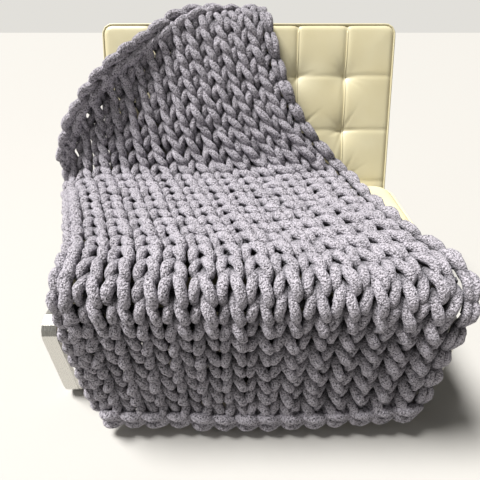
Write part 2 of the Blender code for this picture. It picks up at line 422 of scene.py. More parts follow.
# --------------------------------------------------------------------------- meshes
@dataclass
class MeshBuffer:
    """Gathers tubes and grids, then becomes one mesh object.

    Args:
        points: blocks of points.
        faces: blocks of quads or triangles.
        rises: how far each point stands out of the cloth.
        count: points so far.
    """

    points: list = field(default_factory=list)
    faces: list = field(default_factory=list)
    rises: list = field(default_factory=list)
    count: int = 0

    def add(self, points: np.ndarray, *faces: np.ndarray, rise: np.ndarray | None = None) -> None:
        """Add points and faces that count from those points.

        Args:
            points: n by 3.
            faces: arrays of quads or triangles.
            rise: how far each point stands out of the cloth.
        """
        self.points.append(points)
        self.rises.append(np.zeros(len(points)) if rise is None else rise)
        self.faces += [block + self.count for block in faces if len(block)]
        self.count += len(points)

    def tube(self, path: np.ndarray, radius: np.ndarray, sides: int, closed: bool = False,
             level: np.ndarray | float = 0.0, outward: np.ndarray | None = None) -> None:
        """Add a tube along a path, closed into a ring or capped at both ends.

        Args:
            path: n by 3 centre points.
            radius: n radii.
            sides: corners of its section.
            closed: whether the last point joins the first.
            level: how far each centre stands out of the cloth.
            outward: the cloth's outward direction at each centre.
        """
        side, other = carried_frames(path, closed)
        angle = np.linspace(0.0, 2 * math.pi, sides, endpoint=False)
        cosine, sine = np.cos(angle)[None, :, None], np.sin(angle)[None, :, None]
        ring = cosine * side[:, None, :] + sine * other[:, None, :]
        points = (path[:, None, :] + ring * radius[:, None, None]).reshape(-1, 3)
        rise = np.zeros(len(points))
        if outward is not None:
            above = (ring * outward[:, None, :]).sum(-1) * radius[:, None]
            rise = (np.asarray(level)[:, None] + above).ravel()
        count = len(path)
        rows = np.arange(count if closed else count - 1)[:, None]
        steps = np.arange(sides)[None, :]
        after = (rows + 1) % count
        beside = (steps + 1) % sides
        here, there = rows * sides, after * sides
        corners = (here + steps, here + beside, there + beside, there + steps)
        quads = np.stack(np.broadcast_arrays(*corners), -1).reshape(-1, 4)
        if closed:
            self.add(points, quads, rise=rise)
            return
        first, last = len(points), len(points) + 1
        points = np.concatenate([points, path[:1], path[-1:]])
        rise = np.concatenate([rise, rise[:1], rise[-1:]])
        loop = np.arange(sides)
        turned = (loop + 1) % sides
        start = np.stack([np.full(sides, first), turned, loop], -1)
        base = (count - 1) * sides
        end = np.stack([np.full(sides, last), base + loop, base + turned], -1)
        self.add(points, quads, start, end, rise=rise)

    def make(self, name: str, material: bpy.types.Material) -> bpy.types.Object:
        """Build the object.

        Args:
            name: the piece's name.
            material: its only material.

        Returns:
            The linked object, shaded smooth.
        """
        points = np.concatenate(self.points).astype(np.float32)
        loops = np.concatenate([block.ravel() for block in self.faces]).astype(np.int32)
        totals = np.concatenate([np.full(len(block), block.shape[1]) for block in self.faces])
        starts = np.concatenate([[0], np.cumsum(totals)[:-1]]).astype(np.int32)
        mesh = bpy.data.meshes.new(name)
        mesh.vertices.add(len(points))
        mesh.vertices.foreach_set("co", points.ravel())
        mesh.loops.add(len(loops))
        mesh.loops.foreach_set("vertex_index", loops)
        mesh.polygons.add(len(totals))
        mesh.polygons.foreach_set("loop_start", starts)
        mesh.update(calc_edges=True)
        # The rise attribute drives the yarn's painted shade.
        rise = mesh.attributes.new("rise", "FLOAT", "POINT")
        rise.data.foreach_set("value", np.concatenate(self.rises).astype(np.float32))
        mesh.shade_smooth()
        mesh.materials.append(material)
        piece = bpy.data.objects.new(name, mesh)
        bpy.context.collection.objects.link(piece)
        return piece


def carried_frames(path: np.ndarray, closed: bool) -> tuple[np.ndarray, np.ndarray]:
    """Two unit vectors across a path at each point, carried along with no twist.

    Args:
        path: n by 3 points.
        closed: whether the path is a ring, whose leftover twist is then shared out.

    Returns:
        The two vectors, each n by 3, right-handed with the path's direction.
    """
    if closed:
        ahead = np.roll(path, -1, 0) - np.roll(path, 1, 0)
    else:
        ahead = np.gradient(path, axis=0)
    ahead /= np.linalg.norm(ahead, axis=1, keepdims=True)
    side = np.empty_like(ahead)
    start = np.cross(ahead[0], (0.31, 0.52, 0.79))
    side[0] = start / np.linalg.norm(start)
    for i in range(1, len(path)):
        flat = side[i - 1] - ahead[i] * (side[i - 1] @ ahead[i])
        side[i] = flat / math.sqrt(flat @ flat)
    if closed:
        flat = side[-1] - ahead[0] * (side[-1] @ ahead[0])
        flat /= np.linalg.norm(flat)
        twist = math.atan2(np.cross(flat, side[0]) @ ahead[0], flat @ side[0])
        turn = twist * np.arange(len(path))[:, None] / len(path)
        side = side * np.cos(turn) + np.cross(ahead, side) * np.sin(turn)
    return side, np.cross(ahead, side)


@dataclass
class Lumps:
    """Smooth three-way unevenness, the same for every run.

    Args:
        wavelengths: longest and shortest, in metres.
        waves: how many are summed.
        seed: of its random directions.
    """

    wavelengths: tuple[float, float]
    waves: int
    seed: int

    def __post_init__(self) -> None:
        """Draw the waves."""
        draw = np.random.default_rng(self.seed)
        direction = draw.normal(size=(self.waves, 3))
        direction /= np.linalg.norm(direction, axis=1, keepdims=True)
        length = draw.uniform(self.wavelengths[1], self.wavelengths[0], self.waves)
        self.rates = (direction * (2 * math.pi / length)[:, None]).astype(np.float32)
        self.phases = draw.uniform(0.0, 2 * math.pi, self.waves).astype(np.float32)

    def at(self, points: np.ndarray) -> np.ndarray:
        """Value at each point, mostly between -1 and 1."""
        total = np.cos(points.astype(np.float32) @ self.rates.T + self.phases).sum(1)
        return total * math.sqrt(1.0 / self.waves)


def roughen(piece: bpy.types.Object, layers: tuple[tuple[Lumps, float], ...]) -> None:
    """Move a piece's points along their normals by layers of lumps.

    Args:
        piece: the mesh object.
        layers: each a Lumps and its height in metres.
    """
    mesh = piece.data
    points = np.empty(len(mesh.vertices) * 3, np.float32)
    mesh.vertices.foreach_get("co", points)
    points = points.reshape(-1, 3)
    normals = np.empty(len(mesh.vertices) * 3, np.float32)
    mesh.vertex_normals.foreach_get("vector", normals)
    normals = normals.reshape(-1, 3)
    push = sum(lumps.at(points) * height for lumps, height in layers)
    mesh.vertices.foreach_set("co", (points + normals * push[:, None]).ravel())
    mesh.update()


def smooth_step(value: np.ndarray) -> np.ndarray:
    """Ease from 0 to 1."""
    value = np.clip(value, 0.0, 1.0)
    return value * value * (3.0 - 2.0 * value)


def fade(value: np.ndarray, start: float, length: float) -> np.ndarray:
    """Ease from 0 at start to 1 at start + length, which may lie before it."""
    return smooth_step((value - start) / length)


def look_up(rows: tuple, column: int, at: np.ndarray) -> np.ndarray:
    """Smooth cubic through a table whose first column is the place.

    Args:
        rows: the table.
        column: which value.
        at: places.

    Returns:
        The value at each place.
    """
    keys = np.array([row[0] for row in rows])
    values = np.array([row[column] for row in rows])
    slopes = np.empty(len(keys))
    slopes[1:-1] = (values[2:] - values[:-2]) / (keys[2:] - keys[:-2])
    slopes[0] = (values[1] - values[0]) / (keys[1] - keys[0])
    slopes[-1] = (values[-1] - values[-2]) / (keys[-1] - keys[-2])
    index = np.clip(np.searchsorted(keys, at) - 1, 0, len(keys) - 2)
    step = keys[index + 1] - keys[index]
    t = np.clip((at - keys[index]) / step, 0.0, 1.0)
    value = values[index] * (1 + 2 * t) * (1 - t) ** 2 + values[index + 1] * t * t * (3 - 2 * t)
    return value + step * t * (1 - t) * (slopes[index] * (1 - t) - slopes[index + 1] * t)


# --------------------------------------------------------------------------- the chair's place
@dataclass(frozen=True)
class Seating:
    """Where the chair stands, from the frame, and its own sizes.

    Args:
        middle_x: the chair's middle.
        front_y: the seat's front edge.
        seat_top: height of the seat.
        seat_width: of the seat cushion.
        crease: how far behind the front edge the seat meets the back.
        recline: of the back from the vertical.
    """

    middle_x: float
    front_y: float
    seat_top: float
    seat_width: float
    crease: float = 0.434
    recline: float = math.radians(24.6)

    @classmethod
    def from_frame(cls) -> "Seating":
        """Read the chair's place from the frame."""
        low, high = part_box("seat_cushion")
        return cls((low.x + high.x) / 2, low.y, high.z, high.x - low.x)

    def on_back(self, across: np.ndarray, up: np.ndarray, proud: np.ndarray) -> np.ndarray:
        """Points on the back: across from its middle, up its slope, and proud of its face.

        Args:
            across: metres to the right of its middle.
            up: metres up its slope.
            proud: metres out of its face.

        Returns:
            Places in the frame.
        """
        y = self.front_y + self.crease + up * math.sin(self.recline) - proud * math.cos(self.recline)
        z = self.seat_top + up * math.cos(self.recline) + proud * math.sin(self.recline)
        return np.stack(np.broadcast_arrays(self.middle_x + across, y, z), -1)

    def on_seat(self, across: np.ndarray, back: np.ndarray, proud: np.ndarray) -> np.ndarray:
        """Points on the seat: across from its middle, back from its front, and above its top."""
        x, y, z = self.middle_x + across, self.front_y + back, self.seat_top + proud
        return np.stack(np.broadcast_arrays(x, y, z), -1)


# --------------------------------------------------------------------------- the drape
@dataclass
class Drape:
    """The middle surface of the blanket as it lies on the chair.

    A place on it is across, 0 at the left edge and 1 at the right, and run, metres up
    the chair from the lowest hem. All sizes repeat those of the blanket's solid.

    Args:
        seating: the chair's place.
        thick: of the blanket's solid.
        clear: between the blanket and the chair.
        hem_z: height of the lowest hem.
        front_roll: radius of the bend over the seat's front edge.
        crease_roll: radius of the bend where the seat meets the back.
        top_roll: radius of the bend over the back's top.
        top_start: how far up the back that bend begins.
        hem_swing: how far the hem hangs out in front.
        side_sag: how far the cloth sinks beside the seat.
        curl_reach: how far down from the top edge the cloth lifts off the back.
        edge_rows: the left and right edges, at runs counted from a named place.
        end_rows: how far the hem is raised, where the top edge is, and its curl.
    """

    seating: Seating
    thick: float = 0.042
    clear: float = 0.002
    hem_z: float = 0.026
    front_roll: float = 0.054
    crease_roll: float = 0.070
    top_roll: float = 0.053
    top_start: float = 0.376
    hem_swing: float = 0.010
    side_sag: float = 0.065
    curl_reach: float = 0.085
    edge_rows: tuple = (
        # place    run    left    right
        ("hem",    0.00, -0.335,  0.388),
        ("hem",    0.16, -0.350,  0.393),
        ("front", -0.05, -0.352,  0.393),
        ("front",  0.05, -0.360,  0.376),
        ("front",  0.13, -0.388,  0.338),
        ("front",  0.22, -0.426,  0.307),
        ("front",  0.31, -0.466,  0.284),
        ("crease", 0.00, -0.498,  0.273),
        ("crease", 0.06, -0.500,  0.226),
        ("crease", 0.13, -0.492,  0.164),
        ("crease", 0.19, -0.486,  0.123),
        ("crease", 0.27, -0.488,  0.086),
        ("crease", 0.42, -0.515,  0.043),
        ("crease", 0.52, -0.525,  0.030),
    )
    end_rows: tuple = (
        # across  hem_rise  end_up  curl
        (0.00,    0.018,    0.078,  0.046),
        (0.06,    0.013,    0.168,  0.050),
        (0.13,    0.009,    0.218,  0.050),
        (0.20,    0.006,    0.262,  0.046),
        (0.28,    0.003,    0.302,  0.040),
        (0.36,    0.001,    0.332,  0.032),
        (0.45,    0.000,    0.366,  0.020),
        (0.53,    0.000,    0.395,  0.009),
        (0.61,    0.003,    0.422,  0.000),
        (0.76,    0.013,    0.455,  0.000),
        (1.00,    0.036,    0.480,  0.000),
    )

    def __post_init__(self) -> None:
        """Work out the path's straight runs and bends, and where each place is on it."""
        tilt = self.seating.recline
        rise = math.pi / 2 - tilt
        off = self.thick / 2 + self.clear
        seat_z = self.seating.seat_top + off
        self.start_y = -off - 0.001
        meet = (seat_z - self.seating.seat_top - off * math.sin(tilt)) / math.cos(tilt)
        meet_y = self.seating.crease - off * math.cos(tilt) + meet * math.sin(tilt)
        cut = self.crease_roll * math.tan(rise / 2)
        self.legs = (
            (seat_z - self.front_roll - self.hem_z, -math.pi / 2, self.front_roll),
            (meet_y - cut - self.start_y - self.front_roll, rise, self.crease_roll),
            (self.top_start - meet - cut, -math.pi / 2, self.top_roll),
            (0.30, 0.0, 1.0),
        )
        self.run_front = self.legs[0][0] + self.front_roll * math.pi / 2
        self.run_crease = self.run_front + self.legs[1][0] + self.crease_roll * rise - meet - cut
        places = {"hem": 0.0, "front": self.run_front, "crease": self.run_crease}
        self.edges = tuple((places[place] + run, left, right) for place, run, left, right in self.edge_rows)

    def path(self, run: np.ndarray) -> tuple[np.ndarray, np.ndarray, np.ndarray]:
        """Place (y, z) and heading of the middle, run metres up from the hem.

        Args:
            run: metres up the chair.

        Returns:
            y, z and heading at each run.
        """
        y = np.full(run.shape, self.start_y)
        z = np.full(run.shape, self.hem_z)
        heading = np.full(run.shape, math.pi / 2)
        left = run.copy()
        for straight, turn, radius in self.legs:
            step = np.minimum(left, straight)
            y += step * np.cos(heading)
            z += step * np.sin(heading)
            left = np.maximum(left - straight, 0.0)
            bend = np.minimum(left / radius, abs(turn))
            side = math.copysign(1.0, turn)
            turned = heading + side * bend
            y += side * radius * (np.sin(turned) - np.sin(heading))
            z -= side * radius * (np.cos(turned) - np.cos(heading))
            heading = turned
            left = np.maximum(left - abs(turn) * radius, 0.0)
        return y, z, heading

    def start(self, across: np.ndarray) -> np.ndarray:
        """Run at which the blanket begins, at its hem."""
        return look_up(self.end_rows, 1, across)

    def end(self, across: np.ndarray) -> np.ndarray:
        """Run at which the blanket ends, at its top edge."""
        return self.run_crease + look_up(self.end_rows, 2, across)

    def width(self, run: np.ndarray) -> np.ndarray:
        """Distance between the blanket's side edges."""
        return look_up(self.edges, 2, run) - look_up(self.edges, 1, run)

    def point(self, across: np.ndarray, run: np.ndarray, level: np.ndarray) -> np.ndarray:
        """Points of the blanket.

        Args:
            across: 0 to 1 from left to right.
            run: metres up the chair.
            level: metres proud of the middle.

        Returns:
            n by 3 places in the frame.
        """
        y, z, heading = self.path(run)
        left = look_up(self.edges, 1, run)
        x = left + self.width(run) * across
        beyond = np.clip((-self.seating.seat_width / 2 - 0.003 - x) / 0.12, 0.0, 1.0)
        sag = self.side_sag * beyond ** 1.6 * fade(run, self.run_front, 0.2)
        inside = np.clip(across, 0.0, 1.0)
        reach = 1.0 - (self.end(inside) - run) / self.curl_reach
        curl = look_up(self.end_rows, 3, inside) * smooth_step(reach)
        swing = self.hem_swing * np.maximum(1.0 - run / 0.16, 0.0) ** 2
        lift = level + curl + swing - sag
        y = self.seating.front_y + y - np.sin(heading) * lift
        z = z + np.cos(heading) * lift
        return np.stack([self.seating.middle_x + x, y, z], -1)


# --------------------------------------------------------------------------- the knitting
@dataclass(frozen=True)
class Chain:
    """One chained edge.

    Args:
        pitch: metres from link to link.
        spread: half the distance between a link's two sides.
        thin: its yarn's thickness as a share of the yarn's.
        lift: how far its middle stands out of the cloth.
        tilt: how far its upper side stands in front of its lower side, halved.
        overlap: half a link's length, in pitches.
    """

    pitch: float
    spread: float
    thin: float
    lift: float
    tilt: float
    overlap: float


@dataclass
class KnitBlanket:
    """Stockinette in thick chenille yarn, with chained ends and selvages.

    Args:
        drape: the surface it lies on.
        material: the yarn's material.
        wales: stitches across.
        courses: rows.
        left_edge: share of the width that the left selvage takes.
        right_edge: share of the width that the right selvage takes.
        chain: height of the chained ends.
        yarn: mean radius of the yarn.
        swell: how much fatter the yarn is in a leg than in a turn, as a share.
        reach: half a loop's height, in courses.
        shorter: share of the reach that a hanging loop loses.
        lean: how far the legs of a loop spread, in wales.
        parting: how far the two legs keep from each other, in wales.
        depth: how far a loop goes in front of and behind the middle.
        shingle: how far the foot of a leg stands in front of the row below.
        shear: how far the loops of the hanging left part slant, in wales.
        bias: how far the left legs stand in front of the right ones.
        tension: how much thinner the yarn is where it leans on the back.
        upright: share of the lean that is lost behind the front edge.
        slip: how much lower the left leg sits, in courses.
        leaning_slip: what is added to the slip on the back.
        leaning_twist: how far each leg turns on the back, in courses.
        hanging: run where the hanging part ends, and the length of its fade.
        hanging_left: the same where its left part slants.
        left_part: share of the width where that left part ends, and its fade.
        rolled: run where the loops begin to stand upright, and how soon they do.
        cast_on: the course at which the half-hidden first row sits.
        front_courses: rows of full height on the drop.
        change_courses: rows over which their height changes.
        front_pitch: height of a row on the drop, at the left and the right edge.
        rear_pitch: height of a row on the seat and the back.
        steps: rings of the tube for each stitch.
        link_steps: rings of the tube for each link of a chained edge.
        shortest: rings up to which a cut piece of yarn is left out.
        sides: corners of the yarn's section.
        bands: pieces into which the rows are gathered.
        edge_chains: the sizes of the chain along each edge.
    """

    drape: Drape
    material: bpy.types.Material
    wales: int = 14
    courses: int = 31
    left_edge: float = 0.014
    right_edge: float = 0.037
    chain: float = 0.042
    yarn: float = 0.0090
    swell: float = 0.19
    reach: float = 0.94
    shorter: float = 0.27
    lean: float = 0.268
    parting: float = 0.036
    depth: float = 0.0074
    shingle: float = 0.0135
    shear: float = 0.10
    bias: float = 0.0032
    tension: float = 0.13
    upright: float = 0.22
    slip: float = 0.10
    leaning_slip: float = 0.12
    leaning_twist: float = -0.08
    hanging: tuple[float, float] = (0.40, -0.14)
    hanging_left: tuple[float, float] = (0.42, -0.16)
    left_part: tuple[float, float] = (0.75, -0.50)
    rolled: tuple[float, float] = (0.26, 0.16)
    cast_on: float = -0.62
    front_courses: float = 8.5
    change_courses: float = 4.0
    front_pitch: tuple[float, float] = (0.0400, 0.0450)
    rear_pitch: float = 0.0345
    steps: int = 48
    link_steps: int = 44
    shortest: int = 8
    sides: int = 16
    bands: int = 5
    edge_chains: tuple = (
        # name                    pitch  spread  thin  lift   tilt   overlap
        ("blanket_hem_chain",     0.050, 0.0128, 1.02, 0.010, 0.003, 0.76),
        ("blanket_top_chain",     0.047, 0.0080, 0.98, 0.003, 0.000, 0.90),
        ("blanket_left_selvage",  0.038, 0.0070, 0.94, 0.001, 0.000, 0.84),
        ("blanket_right_selvage", 0.058, 0.0055, 0.76, 0.000, 0.000, 0.80),
    )

    def __post_init__(self) -> None:
        """Draw the lumps that every strand shares."""
        self.lumps = (
            (Lumps((0.026, 0.012), 22, SEED + 1), 0.00055),
            (Lumps((0.0090, 0.0055), 30, SEED + 2), 0.00060),
        )

    def run(self, across: np.ndarray, course: np.ndarray) -> np.ndarray:
        """Run up the chair of a place in the knitting.

        The courses are tall on the drop, where they hang, and closer behind it.

        Args:
            across: 0 to 1.
            course: 0 at the hem's chain, up to the number of courses.

        Returns:
            Metres up from the lowest hem.
        """
        inside = np.clip(across, 0.0, 1.0)
        tall = self.front_pitch[0] + (self.front_pitch[1] - self.front_pitch[0]) * inside
        past = np.clip(course - self.front_courses, 0.0, self.change_courses)
        beyond = np.maximum(course - self.front_courses - self.change_courses, 0.0)
        fall = (tall - self.rear_pitch) / self.change_courses
        tall_part = tall * (np.minimum(course, self.front_courses) + past) - fall * past ** 2 / 2
        return self.drape.start(inside) + self.chain * 0.85 + tall_part + self.rear_pitch * beyond

    def across(self, wale: np.ndarray) -> np.ndarray:
        """Place across the blanket of a wale number."""
        return self.left_edge + (1.0 - self.left_edge - self.right_edge) * wale / self.wales

    def outward(self, across: np.ndarray, run: np.ndarray) -> np.ndarray:
        """The cloth's outward direction at each place."""
        step = np.full(run.shape, 0.001)
        return (self.drape.point(across, run, step) - self.drape.point(across, run, step * 0)) / 0.001

    def strand(self, buffer: MeshBuffer, course: float, draw: np.random.Generator) -> None:
        """Add one course's yarn, cut short where the top edge crosses it.

        Args:
            buffer: gathers the tubes.
            course: which row, from 0.
            draw: random numbers for its unevenness.
        """
        place = np.linspace(0.0, self.wales, self.wales * self.steps)
        angle = 2 * math.pi * place
        keys = np.arange(-0.25, self.wales + 0.51, 0.25)

        def uneven(size: float) -> np.ndarray:
            """A value that drifts from leg to leg."""
            return np.interp(place, keys, draw.normal(0.0, size, len(keys)))

        about = self.run(self.across(place), np.full(len(place), course + 0.5))
        leaning = fade(about, self.drape.run_crease, 0.10)
        low = fade(about, *self.hanging)
        low_left = fade(about, *self.hanging_left) * fade(place / self.wales, *self.left_part)
        steep = 1.0 - self.upright * fade(about, *self.rolled) * (1.0 - 0.6 * leaning)
        lean = self.lean * steep * (1.0 - 0.18 * low_left) * (1.0 + uneven(0.12))
        parting = self.parting * (1.0 - 0.7 * low * (1.0 - low_left))
        slip = self.slip * (1.0 + low) * (1.0 - 1.9 * low_left) + self.leaning_slip * leaning
        twist = self.leaning_twist * leaning
        wale = place + lean * np.sin(2 * angle) - parting * np.sin(angle)
        wale += self.shear * low_left * np.cos(angle) + uneven(0.026)
        tall = self.reach * (1.0 - self.shorter * low) * (1.0 + uneven(0.05)) * np.cos(angle)
        level = course + 0.5 - tall - slip * np.sin(angle)
        level += twist * np.sin(2 * angle) + uneven(0.070) * (1.0 + 0.5 * leaning)
        shingle = self.shingle * (1.12 - 0.45 * leaning) * (1.0 + 0.35 * low)
        bias = self.bias * (1.0 + 1.1 * low) * (1.0 - 1.4 * low_left)
        front = -self.depth * np.cos(2 * angle) + shingle * np.sin(angle) ** 2 * np.cos(angle)
        front += bias * np.sin(angle) + uneven(0.0020)
        across = self.across(wale)
        raw = self.run(across, level)
        limit = self.drape.end(np.clip(across, 0.0, 1.0)) - self.chain * 0.5
        bend = 0.006
        run = limit - bend * np.logaddexp(0.0, (limit - raw) / bend)
        taut = 1.0 - self.tension * fade(run, self.drape.run_crease, 0.12)
        radius = self.yarn * taut * (1.0 - self.swell * np.cos(2 * angle)) * (1.0 + uneven(0.06))
        points = self.drape.point(across, run, front)
        outward = self.outward(across, run)
        kept = np.concatenate([[False], raw < limit + 2 * bend, [False]])
        starts = np.flatnonzero(~kept[:-1] & kept[1:])
        stops = np.flatnonzero(kept[:-1] & ~kept[1:])
        for first, last in zip(starts, stops):
            if last - first > self.shortest:
                part = slice(first, last)
                buffer.tube(points[part], radius[part], self.sides, False, front[part], outward[part])

    def band(self, first: int, last: int, draw: np.random.Generator) -> bpy.types.Object:
        """One piece with the courses from first up to last.

        Args:
            first: the first course.
            last: the course after the last one.
            draw: random numbers for its unevenness.

        Returns:
            The piece.
        """
        buffer = MeshBuffer()
        if first == 0:
            self.strand(buffer, self.cast_on, draw)
        for course in range(first, last):
            self.strand(buffer, course, draw)
        return self.finished(buffer, f"blanket_courses_{first + 1:02d}_{last:02d}")

    def finished(self, buffer: MeshBuffer, name: str) -> bpy.types.Object:
        """Make a piece of the gathered tubes and roughen it.

        Args:
            buffer: the gathered tubes.
            name: the piece's name.

        Returns:
            The piece.
        """
        piece = buffer.make(name, self.material)
        roughen(piece, self.lumps)
        return piece

    def chained(self, name: str, across: np.ndarray, run: np.ndarray, chain: Chain,
                draw: np.random.Generator) -> bpy.types.Object:
        """A chain of closed loops along an edge.

        Args:
            name: the piece's name.
            across: places of the edge's middle line.
            run: its runs.
            chain: the chain's sizes.
            draw: random numbers for its unevenness.

        Returns:
            The piece.
        """
        middle = self.drape.point(across, run, np.zeros(len(run)))
        steps = np.linalg.norm(np.diff(middle, axis=0), axis=1)
        length = np.concatenate([[0.0], np.cumsum(steps)])
        links = round(length[-1] / chain.pitch)
        pitch = length[-1] / links
        pinch, dip, taper, probe = 0.62, 2.7, 0.28, 0.002
        angle = np.linspace(0.0, 2 * math.pi, self.link_steps, endpoint=False)
        along = -chain.overlap * np.cos(angle)
        aside = np.sin(angle) - pinch * np.sin(2 * angle)
        front = -np.cos(2 * angle) - dip * np.sin(angle) ** 2 * np.cos(angle)
        buffer = MeshBuffer()
        for link in range(links):
            centre = (link + 0.5 + draw.normal(0.0, 0.05)) * pitch
            at = np.clip(centre + along * pitch * (1.0 + draw.normal(0.0, 0.05)), 0.0, length[-1])
            here, up = np.interp(at, length, across), np.interp(at, length, run)
            wide = self.drape.width(up)
            after, before = at + probe, at - probe
            over = (np.interp(after, length, across) - np.interp(before, length, across)) * wide
            rise = np.interp(after, length, run) - np.interp(before, length, run)
            size = np.hypot(over, rise) + 1e-9
            offset = aside * chain.spread * (1.0 + draw.normal(0.0, 0.08))
            here = here - rise / size * offset / wide
            up = up + over / size * offset
            level = chain.lift + self.depth * 0.85 * front - chain.tilt * aside
            level += draw.normal(0.0, 0.0010)
            radius = self.yarn * chain.thin * (1.0 - taper * np.cos(2 * angle))
            radius *= 1.0 + draw.normal(0.0, 0.04)
            points = self.drape.point(here, up, level)
            buffer.tube(points, radius, self.sides, True, level, self.outward(here, up))
        return self.finished(buffer, name)

    def edges(self, draw: np.random.Generator) -> list[bpy.types.Object]:
        """The four chained edges.

        Args:
            draw: random numbers for their unevenness.

        Returns:
            Their pieces.
        """
        share = np.linspace(0.0, 1.0, 240)
        side = np.ones(len(share))
        low = 0.020 + 0.964 * share
        hem = self.drape.start(low) + self.chain * 0.42
        top = self.drape.end(share) - self.chain * 0.5
        left = self.drape.start(side * 0.0) + 0.02 + (self.drape.end(side * 0.0) - 0.03) * share
        foot = self.drape.start(side)
        right = foot + 0.02 + (self.drape.end(side) - foot - 0.03) * share
        rim = side * 0.990 - 0.012 * fade(right, 0.34, -0.10)
        lines = {
            "blanket_hem_chain": (low[::-1], hem[::-1]),
            "blanket_top_chain": (share[::-1], top[::-1]),
            "blanket_left_selvage": (side * 0.014, left),
            "blanket_right_selvage": (rim, right),
        }
        return [self.chained(name, *lines[name], Chain(*sizes), draw) for name, *sizes in self.edge_chains]

    def build(self) -> list[bpy.types.Object]:
        """Make all the blanket's pieces.

        Returns:
            The pieces, dressed and tied to the frame.
        """
        draw = np.random.default_rng(SEED)
        marks = [round(self.courses * i / self.bands) for i in range(self.bands + 1)]
        pieces = [self.band(first, last, draw) for first, last in zip(marks, marks[1:])]
        pieces += self.edges(draw)
        for piece in pieces:
            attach(piece, "root")
            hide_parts("blanket")
        return pieces


# --------------------------------------------------------------------------- the cushions
@dataclass
class TuftedCushion:
    """A leather cushion with sewn squares, sunk seams and a piped edge.

    Its face runs across by along, and place maps (across, along, proud) to the frame.

    Args:
        name: the piece's name.
        place: maps face places to the frame.
        width: across.
        low: along, at its near or lower end.
        high: along, at its far or upper end.
        thick: through the cushion.
        columns: squares across.
        seams: where the seams across it run, along.
        material: its leather.
        slant: how far its higher end leans in, for each metre below the face.
        edge: radius of the face's rounded edge.
        corner: radius of the face's corners.
        spacing: between places of its mesh.
        seam_sink: depth of a seam.
        seam_reach: how far a seam's sink reaches.
        tuft_sink: depth of a dimple where seams cross.
        tuft_reach: how far a dimple reaches.
        creases: folds that run out from a dimple.
        crease_length: shortest and longest fold.
        crease_depth: shallowest and deepest fold.
        crease_width: half a fold's width.
        rim_drop: how far the face falls towards its rim.
        rim_reach: how far from the rim that fall reaches.
        pipe: radius of the piping.
        welt: radius of the welts along its seams.
    """

    name: str
    place: Callable[[np.ndarray, np.ndarray, np.ndarray], np.ndarray]
    width: float
    low: float
    high: float
    thick: float
    columns: int
    seams: tuple[float, ...]
    material: bpy.types.Material
    slant: float = 0.0
    edge: float = 0.026
    corner: float = 0.024
    spacing: float = 0.0042
    seam_sink: float = 0.0055
    seam_reach: float = 0.0050
    tuft_sink: float = 0.0130
    tuft_reach: float = 0.030
    creases: int = 6
    crease_length: tuple[float, float] = (0.020, 0.055)
    crease_depth: tuple[float, float] = (0.0008, 0.0022)
    crease_width: float = 0.0030
    rim_drop: float = 0.004
    rim_reach: float = 0.035
    pipe: float = 0.0026
    welt: float = 0.0017

    @property
    def flat(self) -> tuple[float, float, float]:
        """Half width, lower end and upper end of the face inside its rounded edge."""
        edge, gap = self.edge, 0.002
        return self.width / 2 - edge - gap, self.low + edge + gap, self.high - edge - gap

    def seam_columns(self) -> np.ndarray:
        """Where the seams along the cushion run, across."""
        pitch = self.width / self.columns
        return (np.arange(1, self.columns) - self.columns / 2) * pitch

    def relief(self, x: np.ndarray, y: np.ndarray) -> np.ndarray:
        """Height of the face, never above 0.

        Args:
            x: across.
            y: along.

        Returns:
            Heights in metres.
        """
        columns, rows = self.seam_columns(), np.array(self.seams)
        to_column = np.abs(x[..., None] - columns).min(-1)
        to_row = np.abs(y[..., None] - rows).min(-1)
        reach = self.seam_reach
        height = -self.seam_sink * (np.exp(-(to_column / reach)) + 0.35 * np.exp(-(to_row / reach)))
        draw = np.random.default_rng(SEED + 7)
        for row in rows:
            for column in columns:
                dx, dy = x - column, y - row
                far = np.hypot(dx, dy)
                height -= self.tuft_sink * np.exp(-((far / self.tuft_reach) ** 1.25))
                angle = np.arctan2(dy, dx)
                for _ in range(self.creases):
                    at = draw.uniform(-math.pi, math.pi)
                    length = draw.uniform(*self.crease_length)
                    turn = np.angle(np.exp(1j * (angle - at)))
                    aside = far * turn
                    near = (np.abs(turn) < 1.2) * np.exp(-((far - 0.012) / length) ** 2) * (far > 0.004)
                    deep = draw.uniform(*self.crease_depth)
                    height -= deep * near * np.exp(-((aside / self.crease_width) ** 2))
        half = self.width / 2
        rim = np.minimum(half - np.abs(x), np.minimum(y - self.low, self.high - y))
        return height - self.rim_drop * np.exp(-np.maximum(rim, 0.0) / self.rim_reach)

    def past_corner(self, x: np.ndarray, y: np.ndarray) -> tuple[np.ndarray, np.ndarray]:
        """How far places lie past the corners' centres, across and along.

        Args:
            x: across.
            y: along.

        Returns:
            The distance across and along, below 0 short of them.
        """
        half, low, high = self.flat
        middle, tall = (low + high) / 2, (high - low) / 2
        return np.abs(x) - (half - self.corner), np.abs(y - middle) - (tall - self.corner)

    def grid(self, step: float) -> tuple[np.ndarray, np.ndarray, int, int]:
        """Places of the face on a grid with rounded corners.

        Args:
            step: distance between places.

        Returns:
            Across, along, and how many columns and rows there are.
        """
        half, low, high = self.flat
        columns, rows = int((2 * half) / step), int((high - low) / step)
        x, y = np.meshgrid(np.linspace(-half, half, columns), np.linspace(low, high, rows))
        middle, tall = (low + high) / 2, (high - low) / 2
        over_x, over_y = self.past_corner(x, y)
        both = (over_x > 0) & (over_y > 0)
        factor = np.maximum(over_x, over_y) / np.maximum(np.hypot(over_x, over_y), 1e-9)
        factor = np.where(both, factor, 1.0)
        new_x = np.where(both, half - self.corner + over_x * factor, np.abs(x))
        new_y = np.where(both, tall - self.corner + over_y * factor, np.abs(y - middle))
        x, y = np.sign(x) * new_x, middle + np.sign(y - middle) * new_y
        return x.ravel(), y.ravel(), columns, rows

